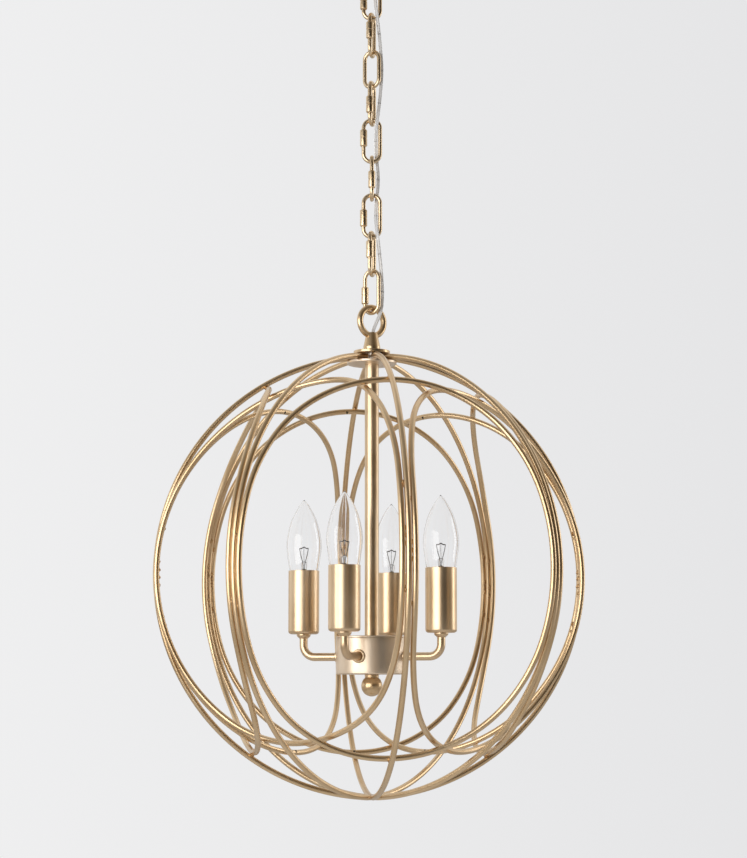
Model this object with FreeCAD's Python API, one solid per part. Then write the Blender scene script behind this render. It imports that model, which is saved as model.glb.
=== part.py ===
import FreeCAD, Part
import math
import os

from FreeCAD import Vector

# Orb chandelier: a ball of bent rods round a cluster of four candle lights, hung by a welded
# chain from a ceiling canopy.  Millimetres.  Z is up, the ceiling is z = 0, and everything
# hangs on the Z axis.  Azimuths are degrees round Z, 0 toward -Y (the front), 90 toward +X.

# ---------------------------------------------------------------- driving dimensions
CLEAR = 0.3                  # air between pieces that lie against each other
THREAD_CLEAR = 0.1           # radial air round a threaded pipe in its tapped hole
PAST = 1.0                   # how far a cutting tool runs past the face it leaves by

# ball of rods, measured on the centre lines of the rods
ORB_RADIUS = 210.0
ORB_HALF_HEIGHT = 215.3
ROD_DIAMETER = 5.6
BUNDLES = 8                  # upright bundles of three rods round the equator
FIRST_BUNDLE = 9.0           # azimuth of the first bundle
RIB_TOP_RADIUS = 9.2         # the ribs stop this far from the axis, round the centre pipe

# bent rings: each spans two bundles, outer and inner layer by turns
RING_TOP_GAPS = (39.8, 44.3)  # how far the tops of outer and inner rings lie below the pole
RING_FULLNESS = 0.012        # how square the corners of a ring are; 0 is a plain ellipse
RING_SPANS = 8               # stretches of two arcs that a ring is bent in
RING_LAYERS = (1.02, 2.5)    # how deep outer and inner rings lie under the ribs, in layers
# each ring as it was welded in: how far it sits above centre, and how far its right side is up
RING_SET = ((1, 5), (1, -6), (2, -6), (-3, -1), (0, 1), (-3, 4), (4, -4), (10, 9))

# top of the ball
WASHER_RADIUS = 18.0
WASHER_THICK = 3.0
PLATE_RADIUS = 24.5
PLATE_THICK = 2.5

# threaded pipe, the same all through
PIPE_DIAMETER = 10.0
PIPE_BORE = 6.6
PIPE_GRIP = 8.0              # how far a pipe goes into what is screwed on it
WIRE_WINDOW = 3.0            # radius of the cross hole for the wires, inside the hub

# stem and hub
STEM_DIAMETER = 13.8
HUB_TOP = -60.1              # below the equator
HUB_HEIGHT = 37.0
HUB_RADIUS = 35.0
HUB_WALL = 1.5
HUB_LID = 2.0
HUB_LIP = 3.0
HUB_BOTTOM_EDGE = 1.2
HUB_TOP_EDGE = 0.6
HUB_INNER_EDGE = 0.5
FINIAL_BALL = 10.3
FINIAL_COLLAR = 6.9
FINIAL_NECK = 0.7            # the collar's least height, over the top of the ball
FINIAL_TAP = 8.5             # depth of its tapped hole

# arms and lights
ARM_AZIMUTHS = {"front": -21.0, "right": 68.0, "back": 164.0, "left": 249.0}
ARM_DIAMETER = 8.0
ARM_BORE = 6.0
ARM_REACH = 72.0
ARM_BEND = 11.8
ARM_LEVEL = -79.9            # below the equator
ARM_ROOT = 28.0              # the arms end this far from the axis, inside the hub
SHOULDER_RADIUS = 6.9
SHOULDER_HEIGHT = 2.5
BUSHING_RADIUS = 6.6
BUSHING_PROUD = 2.0
NUT_ACROSS = 12.0
NUT_THICK = 3.2
NUT_SEAT = 1.0               # air between the nut and the hub's wall, for its washer
BUSHING_SEAT = 2.0           # how far a bushing's blank reaches into the hub before it is hollowed
SLEEVE_TOP = 5.2             # above the equator
SLEEVE_HEIGHT = 62.6
SLEEVE_RADIUS = 15.25
SLEEVE_WALL = 0.8
SLEEVE_FLOOR = 1.2
SLEEVE_EDGE = 3.0
HOLDER_RADIUS = 12.7
HOLDER_FOOT_RADIUS = 9.0
HOLDER_FOOT_HEIGHT = 22.0
HOLDER_EDGE = 1.0

# candle bulb: radius and height above the sleeve's top edge, from its neck to its tip
GLASS_OUTLINE = ((6.6, -11.4), (14.0, 0.0), (15.9, 10.0), (17.5, 24.5), (15.4, 40.2),
                 (12.4, 50.6), (7.2, 60.9), (3.6, 66.5))
GLASS_TIP = 70.5
GLASS_WALL = 0.7
CAP_RADIUS = 5.95
CAP_LENGTH = 18.0
CAP_BUTTON = 1.4
CAP_TAPER = 3.0              # height of the narrowing below the cap's thread
CAP_BUTTON_ROUND = 0.5
# glass mount inside the bulb: radius and height above the neck, and its rounded top
MOUNT_OUTLINE = ((4.0, 0.0), (2.2, 6.0), (1.6, 27.0))
MOUNT_ROUND = 0.8
TIP_THICKENING = 1.5         # the glass is this much thicker at its tip

# chain and its loops
LINK_LENGTH = 46.8
PLAIN_LINK_LENGTH = 40.6     # the link that has no barrel
LINK_WIDTH = 20.5
LINK_WIRE = 4.1
BARREL_RADIUS = 3.65
BARREL_LENGTH = 17.3
SEAM = 0.3
# each link from the top: its turn about Z, and how far its barrel sits above its middle
LINKS = ((0, -3), (75, 3), (-30, None), (75, -3), (0, 3), (90, -3), (0, -2), (75, 3), (-35, -3))
LOOP_RADIUS = 14.15          # centre line of the cast ring
LOOP_WIRE = 6.2
LOOP_BOSS = 29.5             # from the ring's centre to the end of its boss
LOOP_BOSS_TOP = 5.4
LOOP_BOSS_END = 8.4
LOOP_BOSS_RIM = 4.0          # height of the straight foot of the boss
LOOP_BOSS_ROUND = 2.0
LOOP_BOSS_EDGE = 0.8
LOOP_BORE = 7.2
CANOPY_LOOP_TURN = 90.0
FIXTURE_LOOP_TURN = 35.0

# ceiling fitting
CANOPY_RADIUS = 62.5
CANOPY_DEPTH = 22.0
CANOPY_WALL = 1.2
CANOPY_SKIRT = 8.0
CANOPY_CROWN = 30.0
CANOPY_SHOULDER_ROUND = 7.0
CANOPY_CROWN_ROUND = 12.0
CANOPY_NUT_RADIUS = 9.5
CANOPY_NUT_HEIGHT = 5.0
CANOPY_NUT_EDGE = 1.0
BRACKET_HALF_LENGTH = 55.0
BRACKET_WIDTH = 20.0
BRACKET_THICK = 2.5
BRACKET_DROP = 6.0           # the middle of the bar hangs this far below its ends
BRACKET_MIDDLE = 17.0        # half length of the dropped middle
BRACKET_SHOULDER = 24.0      # where the raised ends begin
BOLT_SPACING = 88.9
SLOT_WIDTH = 4.6
SLOT_LENGTH = 10.0
LOCKNUT_ACROSS = 17.0
LOCKNUT_THICK = 3.0
GROUND_SCREW_AT = (12.5, 6.0)
GROUND_SCREW_RADIUS = 1.75
GROUND_HEAD_RADIUS = 3.0
GROUND_HEAD_HEIGHT = 2.0
GROUND_TIP = 2.5             # how far its end stands out of the bar
PIPE_END = 0.5               # how far a pipe's end stands out of its locknut

# supply cord, from the ceiling to the hub: chosen by hand, threaded through the first, fifth
# and seventh link; it then goes straight down the bore of neck and stem
CORD_DIAMETER = 3.5
CORD_ARC_SHARE = 0.45        # of the shorter run at a point, taken up by the arc round it
CORD_ROUTE = (
    (0, 0, -4), (0, 0, -42), (1.5, 2.3, -53), (4.6, 4.8, -62), (5.8, 4.4, -70),
    (3.6, 2, -80.5), (3.3, -1.8, -91.1), (5, -5, -103.8), (7, -3, -120.7), (9, 0, -142.8),
    (10.2, 0.7, -160.2), (9, -0.2, -179.9), (7.4, -2.6, -196.8), (5.7, -5.2, -211.5),
    (4.1, -3, -223.1), (3.8, 0, -233.7), (4, 2.8, -243.2), (5.1, 4.9, -253.7),
    (6.6, 4.9, -271.7), (5.1, 4.9, -289.6), (4, 2.8, -300.2), (3.8, 0, -310.7),
    (4.1, -3, -320.2), (5.8, -5.2, -331.8), (7.6, -2.6, -348.7), (9.6, 0, -368.7),
    (10.6, 0.8, -387.7), (9.8, -0.6, -403.6), (6.4, -1.2, -413.8), (2.6, -0.6, -421.8))
CORD_IN_NECK = 13.0          # its straight end starts this far below the loop's middle
CORD_IN_HUB = 6.4            # and ends this far below the top of the hub's lid

# ---------------------------------------------------------------- worked out from the above
ROD = ROD_DIAMETER / 2
RIB_CENTRE = (ORB_RADIUS ** 2 - ORB_HALF_HEIGHT ** 2) / (2 * ORB_RADIUS)
RIB_ARC = ORB_RADIUS - RIB_CENTRE
BUNDLE_TURN = 360.0 / BUNDLES
LAYER = ROD_DIAMETER + CLEAR
RING_DEPTHS = [layers * LAYER for layers in RING_LAYERS]
RING_HALF_HEIGHTS = [ORB_HALF_HEIGHT - gap for gap in RING_TOP_GAPS]
RING_HALF_TURN = math.radians(BUNDLE_TURN) - LAYER / ORB_RADIUS
RING_HALF_WIDTH = ORB_RADIUS * math.sin(RING_HALF_TURN)

WIRE = LINK_WIRE / 2
LINK_BEND = (LINK_WIDTH - LINK_WIRE) / 2
LOOP_ROD = LOOP_WIRE / 2
LOOP_SEAT = LOOP_ROD + WIRE + CLEAR      # loop wire to link wire, where one hangs on the other
LINK_SEAT = LINK_WIRE + CLEAR
PIPE = PIPE_DIAMETER / 2
TAPPED = PIPE + THREAD_CLEAR


def rib_height(radius):
    """Height of a rib's centre line above the equator, this far from the axis."""
    return math.sqrt(RIB_ARC ** 2 - (radius - RIB_CENTRE) ** 2)


def link_reach(barrel_at):
    """From a link's middle to the centre line of its wire at its crown."""
    length = PLAIN_LINK_LENGTH if barrel_at is None else LINK_LENGTH
    return (length - LINK_WIRE) / 2


CANOPY_LOOP_Z = -(CANOPY_DEPTH + CANOPY_NUT_HEIGHT + LOOP_BOSS)
LINK_MIDDLES = []
crown = CANOPY_LOOP_Z - LOOP_RADIUS + LOOP_SEAT
for turn, barrel_at in LINKS:
    LINK_MIDDLES.append(crown - link_reach(barrel_at))
    last_foot = crown - 2 * link_reach(barrel_at)
    crown = last_foot + LINK_SEAT
FIXTURE_LOOP_Z = last_foot + LOOP_SEAT - LOOP_RADIUS
WASHER_TOP = FIXTURE_LOOP_Z - LOOP_BOSS
ORB_Z = WASHER_TOP - WASHER_THICK - CLEAR - rib_height(RIB_TOP_RADIUS) - ROD
PLATE_TOP = ORB_Z + rib_height(PLATE_RADIUS) - ROD - CLEAR
STEM_TOP = PLATE_TOP - PLATE_THICK
HUB_TOP_Z = ORB_Z + HUB_TOP
HUB_BOTTOM_Z = HUB_TOP_Z - HUB_HEIGHT
SLEEVE_TOP_Z = ORB_Z + SLEEVE_TOP
SLEEVE_BOTTOM_Z = SLEEVE_TOP_Z - SLEEVE_HEIGHT
ARM_Z = ORB_Z + ARM_LEVEL

UP = Vector(0, 0, 1)
PARTS = {}


# ---------------------------------------------------------------- shaping
def out_at(azimuth, radius, z=0.0):
    """The point this far from the axis at an azimuth."""
    turn = math.radians(azimuth)
    return Vector(radius * math.sin(turn), -radius * math.cos(turn), z)


def turn_to(shape, azimuth):
    """Turn what was drawn toward +X round to an azimuth."""
    turned = shape.copy()
    turned.rotate(Vector(0, 0, 0), UP, azimuth - 90)
    return turned


def turned_and_moved(shape, turn, z):
    """Turn a shape about Z, then lift it."""
    placed = shape.copy()
    placed.rotate(Vector(0, 0, 0), UP, turn)
    placed.translate(Vector(0, 0, z))
    return placed


def rounded_edges(points, radii):
    """Straight runs through the points, joined by a tangent arc at each point that has a radius."""
    edges = []
    last = points[0]
    for before, corner, after, radius in zip(points, points[1:], points[2:], radii[1:]):
        back = (before - corner).normalize()
        ahead = (after - corner).normalize()
        half = (math.pi - back.getAngle(ahead)) / 2
        if radius > 0 and half > 1e-6:
            cut = radius * math.tan(half)
            middle = corner + (back + ahead).normalize() * (radius / math.cos(half) - radius)
            start = corner + back * cut
            end = corner + ahead * cut
            edges.append(Part.LineSegment(last, start).toShape())
            edges.append(Part.Arc(start, middle, end).toShape())
            last = end
        else:
            edges.append(Part.LineSegment(last, corner).toShape())
            last = corner
    edges.append(Part.LineSegment(last, points[-1]).toShape())
    return edges


def turned_profile(*outline):
    """Turn a closed outline of (radius, z) or (radius, z, rounding) corners about Z."""
    points = [Vector(corner[0], 0, corner[1]) for corner in outline]
    radii = [corner[2] if len(corner) > 2 else 0 for corner in outline]
    edges = rounded_edges(points + [points[0]], radii + [0])
    return Part.Face(Part.Wire(edges)).revolve(Vector(0, 0, 0), UP, 360)


def tube(edges, radius, start, heading):
    """A round rod along joined edges."""
    section = Part.Wire(Part.makeCircle(radius, start, heading))
    return Part.Wire(edges).makePipeShell([section], True, False)


def drill(radius, bottom, top):
    """A cutting tool about Z for a hole right through, between two heights."""
    return Part.makeCylinder(radius, top - bottom + 2 * PAST, Vector(0, 0, bottom - PAST))


def disc(radius, thick, bottom, bore=0.0):
    """A round plate about Z, with or without a hole."""
    plate = Part.makeCylinder(radius, thick, Vector(0, 0, bottom))
    if bore:
        plate = plate.cut(drill(bore, bottom, bottom + thick))
    return plate


def hexagon(across, thick, bottom, bore):
    """A hexagon nut about Z."""
    corner = across / math.sqrt(3)
    points = [out_at(60 * k, corner, bottom) for k in range(7)]
    nut = Part.Face(Part.makePolygon(points)).extrude(Vector(0, 0, thick))
    return nut.cut(drill(bore, bottom, bottom + thick))


def pipe(bottom, top):
    """A length of threaded pipe about Z."""
    return disc(PIPE, top - bottom, bottom, PIPE_BORE / 2)


def radial_disc(radius, inner, outer, bore, z):
    """A washer whose axis points along +X, between two distances from the Z axis."""
    ring = disc(radius, outer - inner, 0, bore)
    ring.rotate(Vector(0, 0, 0), Vector(0, 1, 0), 90)
    ring.translate(Vector(inner, 0, z))
    return ring


def arc_between(start, knee, end):
    """The arc from start to end whose tangents meet at the knee, at equal distances."""
    weight = math.cos((end - start).getAngle(knee - start))
    middle = (start + end + knee * (2 * weight)) * (1 / (2 + 2 * weight))
    return Part.Arc(start, middle, end).toShape()


def two_arcs(start, leave, end, arrive):
    """Two arcs from start to end that leave and arrive along the given directions."""
    chord = end - start
    along = chord.dot(leave + arrive)
    spread = 2 * (1 - leave.dot(arrive))
    reach = (math.sqrt(along ** 2 + spread * chord.dot(chord)) - along) / spread
    first_knee = start + leave * reach
    last_knee = end - arrive * reach
    joint = (first_knee + last_knee) * 0.5
    return [arc_between(start, first_knee, joint), arc_between(joint, last_knee, end)]


# ---------------------------------------------------------------- ball of rods
def orb_reach(height, depth):
    """Distance from the axis at a height, this deep inside the ribs' centre lines."""
    return RIB_CENTRE + math.sqrt((RIB_ARC - depth) ** 2 - height ** 2)


def rib(azimuth):
    """One upright rod from the bottom pole to the washer, mitred against its neighbours below."""
    centre = Vector(RIB_CENTRE, 0, 0)
    low = -math.acos(-RIB_CENTRE / RIB_ARC)
    high = math.acos((RIB_TOP_RADIUS - RIB_CENTRE) / RIB_ARC)
    start = centre + Vector(math.cos(low), 0, math.sin(low)) * RIB_ARC
    heading = Vector(-math.sin(low), 0, math.cos(low))
    section = Part.Face(Part.Wire(Part.makeCircle(ROD, start, heading)))
    rod = section.revolve(centre, Vector(0, -1, 0), math.degrees(high - low))
    half = math.radians(BUNDLE_TURN / 2)
    tip = CLEAR / 2 / math.sin(half)
    far = ORB_RADIUS + ROD_DIAMETER
    side = (far - tip) * math.tan(half)
    depth = ORB_HALF_HEIGHT + ROD_DIAMETER
    sector = Part.makePolygon([Vector(tip, 0, -depth), Vector(far, side, -depth),
                               Vector(far, -side, -depth), Vector(tip, 0, -depth)])
    rod = rod.common(Part.Face(sector).extrude(Vector(0, 0, 2 * depth)))
    rod = turn_to(rod, azimuth)
    rod.translate(Vector(0, 0, ORB_Z))
    return rod


def ring_point(index, turn):
    """A point on a ring's centre line; turn runs from its right side over its top."""
    lift, tilt = RING_SET[index]
    depth_at_top = RING_DEPTHS[index % 2]
    square = 1 - RING_FULLNESS
    across = (math.cos(turn) - RING_FULLNESS * math.cos(3 * turn)) / square
    upward = (math.sin(turn) + RING_FULLNESS * math.sin(3 * turn)) / square
    depth = depth_at_top * upward ** 2
    true_height = RING_HALF_HEIGHTS[index % 2] * upward
    swing = math.asin(RING_HALF_WIDTH * across / orb_reach(true_height, depth))
    height = true_height + lift + tilt * across
    azimuth = FIRST_BUNDLE + BUNDLE_TURN * index + math.degrees(swing)
    return out_at(azimuth, orb_reach(height, depth), ORB_Z + height)


def ring_heading(index, turn):
    """Direction of a ring's centre line."""
    step = 0.001
    return (ring_point(index, turn + step) - ring_point(index, turn - step)).normalize()


def half_ring(index, first):
    """Half of a bent ring, from the turn `first` on."""
    span = 2 * math.pi / RING_SPANS
    edges = []
    for k in range(RING_SPANS // 2):
        here = first + k * span
        there = here + span
        edges += two_arcs(ring_point(index, here), ring_heading(index, here),
                          ring_point(index, there), ring_heading(index, there))
    return tube(edges, ROD, ring_point(index, first), ring_heading(index, first))


def make_ball():
    for k in range(BUNDLES):
        PARTS[f"rib_{k + 1}"] = rib(FIRST_BUNDLE + BUNDLE_TURN * k)
        PARTS[f"ring_{k + 1}"] = half_ring(k, 0).fuse(half_ring(k, math.pi)).removeSplitter()


# ---------------------------------------------------------------- chain
def link_half(reach):
    """Half of a link's wire, from its crown round one side to its foot."""
    straight = reach - LINK_BEND
    bow = LINK_BEND * math.sqrt(0.5)
    crown = Vector(0, 0, reach)
    edges = [
        Part.Arc(crown, Vector(bow, 0, straight + bow), Vector(LINK_BEND, 0, straight)).toShape(),
        Part.LineSegment(Vector(LINK_BEND, 0, straight), Vector(LINK_BEND, 0, -straight)).toShape(),
        Part.Arc(Vector(LINK_BEND, 0, -straight), Vector(bow, 0, -straight - bow), -crown).toShape()]
    return tube(edges, WIRE, crown, Vector(1, 0, 0))


def chain_link(turn, barrel_at, z):
    """A bent wire link, closed by a barrel over its seam or left with the seam bare."""
    right = link_half(link_reach(barrel_at))
    left = right.copy()
    left.rotate(Vector(0, 0, 0), UP, 180)
    seam_at = barrel_at or 0
    reach = WIRE + PAST
    seam = Part.makeBox(2 * reach, 2 * reach, SEAM,
                        Vector(-LINK_BEND - reach, -reach, seam_at - SEAM / 2))
    pieces = [right.fuse(left).cut(seam)]
    if barrel_at is not None:
        barrel = disc(BARREL_RADIUS, BARREL_LENGTH, seam_at - BARREL_LENGTH / 2, WIRE + THREAD_CLEAR)
        barrel.translate(Vector(-LINK_BEND, 0, 0))
        pieces.append(barrel)
    return turned_and_moved(Part.makeCompound(pieces), turn, z)


def cast_loop():
    """A ring cast in one with a bored and tapped boss, its boss downward."""
    ring = Part.makeTorus(LOOP_RADIUS, LOOP_ROD, Vector(0, 0, 0), Vector(0, 1, 0))
    shelf = -(LOOP_RADIUS - LOOP_ROD)
    foot = -LOOP_BOSS
    boss = turned_profile(
        (0, shelf), (LOOP_BOSS_TOP, shelf, LOOP_BOSS_EDGE),
        (LOOP_BOSS_END, foot + LOOP_BOSS_RIM, LOOP_BOSS_ROUND), (LOOP_BOSS_END, foot), (0, foot))
    loop = ring.fuse(boss)
    loop = loop.cut(drill(LOOP_BORE / 2, foot, shelf))
    return loop.cut(drill(TAPPED, foot, foot + PIPE_GRIP - PAST))


def make_chain():
    loop = cast_loop()
    canopy_loop = loop.copy()
    canopy_loop.rotate(Vector(0, 0, 0), Vector(1, 0, 0), 180)
    PARTS["canopy_loop"] = turned_and_moved(canopy_loop, CANOPY_LOOP_TURN, CANOPY_LOOP_Z)
    for k, ((turn, barrel_at), z) in enumerate(zip(LINKS, LINK_MIDDLES)):
        PARTS[f"chain_link_{k + 1}"] = chain_link(turn, barrel_at, z)
    PARTS["fixture_loop"] = turned_and_moved(loop, FIXTURE_LOOP_TURN, FIXTURE_LOOP_Z)


# ---------------------------------------------------------------- cord
def make_cord():
    points = [Vector(*point) for point in CORD_ROUTE]
    points += [Vector(0, 0, FIXTURE_LOOP_Z - CORD_IN_NECK), Vector(0, 0, HUB_TOP_Z - CORD_IN_HUB)]
    radii = [0.0]
    for before, corner, after in zip(points, points[1:], points[2:]):
        half = (math.pi - (before - corner).getAngle(after - corner)) / 2
        shorter = min((before - corner).Length, (after - corner).Length)
        radii.append(CORD_ARC_SHARE * shorter / math.tan(half))
    edges = rounded_edges(points, radii)
    cord = tube(edges, CORD_DIAMETER / 2, points[0], points[1] - points[0])
    length = sum(edge.Length for edge in edges)
    section = math.pi * CORD_DIAMETER ** 2 / 4
    print("cord: %.0f mm long, volume / (section x length) = %.4f, least radius %.1f mm"
          % (length, cord.Volume / (section * length), min(radii[1:])))
    PARTS["supply_cord"] = cord


# ---------------------------------------------------------------- ceiling fitting
def make_ceiling_fitting():
    half = BRACKET_HALF_LENGTH
    low = -BRACKET_DROP
    top = [(-half, 0), (-BRACKET_SHOULDER, 0), (-BRACKET_MIDDLE, low), (BRACKET_MIDDLE, low),
           (BRACKET_SHOULDER, 0), (half, 0)]
    under = [(x, z - BRACKET_THICK) for x, z in reversed(top)]
    outline = [Vector(x, -BRACKET_WIDTH / 2, z) for x, z in top + under + top[:1]]
    bracket = Part.Face(Part.makePolygon(outline)).extrude(Vector(0, BRACKET_WIDTH, 0))
    bar_under = low - BRACKET_THICK
    bracket = bracket.cut(drill(TAPPED, bar_under, low))
    for side in (-1, 1):
        middle = side * BOLT_SPACING / 2
        run = SLOT_LENGTH - SLOT_WIDTH
        end = drill(SLOT_WIDTH / 2, -BRACKET_THICK, 0)
        slot = Part.makeBox(run, SLOT_WIDTH, BRACKET_THICK + 2 * PAST,
                            Vector(middle - run / 2, -SLOT_WIDTH / 2, -BRACKET_THICK - PAST))
        for x in (middle - run / 2, middle + run / 2):
            slot = slot.fuse(end.translated(Vector(x, 0, 0)))
        bracket = bracket.cut(slot)
    screw_x, screw_y = GROUND_SCREW_AT
    hole = drill(GROUND_SCREW_RADIUS + THREAD_CLEAR, bar_under, low)
    PARTS["ceiling_bracket"] = bracket.cut(hole.translated(Vector(screw_x, screw_y, 0)))

    shank = Part.makeCylinder(GROUND_SCREW_RADIUS, BRACKET_THICK + GROUND_TIP,
                              Vector(screw_x, screw_y, bar_under))
    head = Part.makeCylinder(GROUND_HEAD_RADIUS, GROUND_HEAD_HEIGHT,
                             Vector(screw_x, screw_y, bar_under - GROUND_HEAD_HEIGHT))
    PARTS["ground_screw"] = shank.fuse(head)
    PARTS["bracket_locknuts"] = Part.makeCompound([
        hexagon(LOCKNUT_ACROSS, LOCKNUT_THICK, low, TAPPED),
        hexagon(LOCKNUT_ACROSS, LOCKNUT_THICK, bar_under - LOCKNUT_THICK, TAPPED)])
    boss_end = -CANOPY_DEPTH - CANOPY_NUT_HEIGHT
    PARTS["ceiling_pipe"] = pipe(boss_end - PIPE_GRIP, low + LOCKNUT_THICK + PIPE_END)
    floor = -CANOPY_DEPTH
    rim = -CLEAR
    PARTS["canopy"] = turned_profile(
        (CANOPY_RADIUS, rim), (CANOPY_RADIUS, rim - CANOPY_SKIRT, CANOPY_SHOULDER_ROUND),
        (CANOPY_CROWN, floor, CANOPY_CROWN_ROUND), (TAPPED, floor), (TAPPED, floor + CANOPY_WALL),
        (CANOPY_CROWN, floor + CANOPY_WALL, CANOPY_CROWN_ROUND - CANOPY_WALL),
        (CANOPY_RADIUS - CANOPY_WALL, rim - CANOPY_SKIRT + CANOPY_WALL / 2,
         CANOPY_SHOULDER_ROUND - CANOPY_WALL),
        (CANOPY_RADIUS - CANOPY_WALL, rim))
    PARTS["canopy_nut"] = turned_profile(
        (TAPPED, floor), (CANOPY_NUT_RADIUS, floor), (CANOPY_NUT_RADIUS, boss_end, CANOPY_NUT_EDGE),
        (TAPPED, boss_end))


# ---------------------------------------------------------------- stem, hub and top of the ball
def make_stem_and_hub():
    PARTS["top_washer"] = disc(WASHER_RADIUS, WASHER_THICK, WASHER_TOP - WASHER_THICK, TAPPED)
    PARTS["top_plate"] = disc(PLATE_RADIUS, PLATE_THICK, STEM_TOP, TAPPED)
    PARTS["stem"] = disc(STEM_DIAMETER / 2, STEM_TOP - HUB_TOP_Z, HUB_TOP_Z, TAPPED)
    top_pipe = pipe(STEM_TOP - PIPE_GRIP, WASHER_TOP + PIPE_GRIP)
    hub_pipe = pipe(HUB_BOTTOM_Z - PIPE_GRIP, HUB_TOP_Z + PIPE_GRIP)
    window = Part.makeCylinder(WIRE_WINDOW, PIPE_DIAMETER * 2,
                               Vector(-PIPE_DIAMETER, 0, ARM_Z), Vector(1, 0, 0))
    PARTS["stem_pipes"] = Part.makeCompound([top_pipe, hub_pipe.cut(window)])

    rim = HUB_TOP_Z - HUB_LID
    inside = HUB_RADIUS - HUB_WALL
    cup = turned_profile(
        (TAPPED, HUB_BOTTOM_Z), (HUB_RADIUS, HUB_BOTTOM_Z, HUB_BOTTOM_EDGE), (HUB_RADIUS, rim),
        (inside, rim),
        (inside, HUB_BOTTOM_Z + HUB_WALL, HUB_INNER_EDGE), (TAPPED, HUB_BOTTOM_Z + HUB_WALL))
    for azimuth in ARM_AZIMUTHS.values():
        hole = radial_disc(ARM_DIAMETER / 2 + CLEAR, ARM_ROOT, HUB_RADIUS + PAST, 0, ARM_Z)
        cup = cup.cut(turn_to(hole, azimuth))
    PARTS["hub_cup"] = cup
    lip_out = inside - CLEAR
    PARTS["hub_lid"] = turned_profile(
        (TAPPED, HUB_TOP_Z), (HUB_RADIUS, HUB_TOP_Z, HUB_TOP_EDGE), (HUB_RADIUS, rim), (lip_out, rim),
        (lip_out, rim - HUB_LIP), (lip_out - HUB_WALL, rim - HUB_LIP), (lip_out - HUB_WALL, rim),
        (TAPPED, rim))

    drop = FINIAL_NECK + FINIAL_BALL
    ball = Part.makeSphere(FINIAL_BALL, Vector(0, 0, HUB_BOTTOM_Z - drop))
    collar = disc(FINIAL_COLLAR, drop, HUB_BOTTOM_Z - drop)
    hole = Part.makeCylinder(TAPPED, FINIAL_TAP + PAST, Vector(0, 0, HUB_BOTTOM_Z - FINIAL_TAP))
    PARTS["finial"] = ball.fuse(collar).cut(hole)


# ---------------------------------------------------------------- arms and lights
def bent_tube(radius, inner, top):
    """The arm's line from inside the hub, round its bend and up to the light."""
    corner = Vector(ARM_REACH, 0, ARM_Z)
    points = [Vector(inner, 0, ARM_Z), corner, Vector(ARM_REACH, 0, top)]
    return tube(rounded_edges(points, [0, ARM_BEND, 0]), radius, points[0], Vector(1, 0, 0))


def arm():
    top = SLEEVE_BOTTOM_Z + SLEEVE_FLOOR + PIPE_GRIP
    outside = bent_tube(ARM_DIAMETER / 2, ARM_ROOT, top)
    shoulder = disc(SHOULDER_RADIUS, SHOULDER_HEIGHT, SLEEVE_BOTTOM_Z - SHOULDER_HEIGHT)
    shoulder.translate(Vector(ARM_REACH, 0, 0))
    return outside.fuse(shoulder).cut(bent_tube(ARM_BORE / 2, ARM_ROOT - PAST, top + PAST))


def sleeve():
    """A thin cup with a rolled bottom edge, open at the top, round the lampholder."""
    inside = SLEEVE_RADIUS - SLEEVE_WALL
    floor = SLEEVE_BOTTOM_Z + SLEEVE_FLOOR
    hole = ARM_DIAMETER / 2 + THREAD_CLEAR
    return turned_profile(
        (hole, SLEEVE_BOTTOM_Z), (SLEEVE_RADIUS, SLEEVE_BOTTOM_Z, SLEEVE_EDGE),
        (SLEEVE_RADIUS, SLEEVE_TOP_Z), (inside, SLEEVE_TOP_Z),
        (inside, floor, SLEEVE_EDGE - SLEEVE_WALL), (hole, floor))


def lampholder():
    """The insulating holder that the bulb's cap screws into, standing on the sleeve's floor."""
    neck_z = SLEEVE_TOP_Z + GLASS_OUTLINE[0][1]
    cap_end = neck_z - CLEAR - CAP_LENGTH - CAP_BUTTON - CLEAR
    foot = SLEEVE_BOTTOM_Z + SLEEVE_FLOOR
    arm_hole = ARM_DIAMETER / 2 + THREAD_CLEAR
    bore = CAP_RADIUS + CLEAR
    return turned_profile(
        (arm_hole, foot), (HOLDER_FOOT_RADIUS, foot), (HOLDER_FOOT_RADIUS, foot + HOLDER_FOOT_HEIGHT),
        (HOLDER_RADIUS, foot + HOLDER_FOOT_HEIGHT), (HOLDER_RADIUS, neck_z - CLEAR, HOLDER_EDGE),
        (bore, neck_z - CLEAR), (bore, cap_end), (0, cap_end), (0, foot + PIPE_GRIP + CLEAR),
        (arm_hole, foot + PIPE_GRIP + CLEAR))


def glass_line(inset):
    """The candle's outline from neck to tip, drawn in by an inset."""
    points = [Vector(radius - inset, 0, SLEEVE_TOP_Z + z) for radius, z in GLASS_OUTLINE]
    points.append(Vector(0, 0, SLEEVE_TOP_Z + GLASS_TIP - TIP_THICKENING * inset))
    line = Part.BSplineCurve()
    line.interpolate(points)
    return line.toShape(), points[0], points[-1]


def bulb_glass():
    outer, outer_neck, outer_tip = glass_line(0.0)
    inner, inner_neck, inner_tip = glass_line(GLASS_WALL)
    outline = [outer, Part.LineSegment(outer_tip, inner_tip).toShape(), inner,
               Part.LineSegment(inner_neck, outer_neck).toShape()]
    return Part.Face(Part.Wire(Part.__sortEdges__(outline))).revolve(Vector(0, 0, 0), UP, 360)


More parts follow.
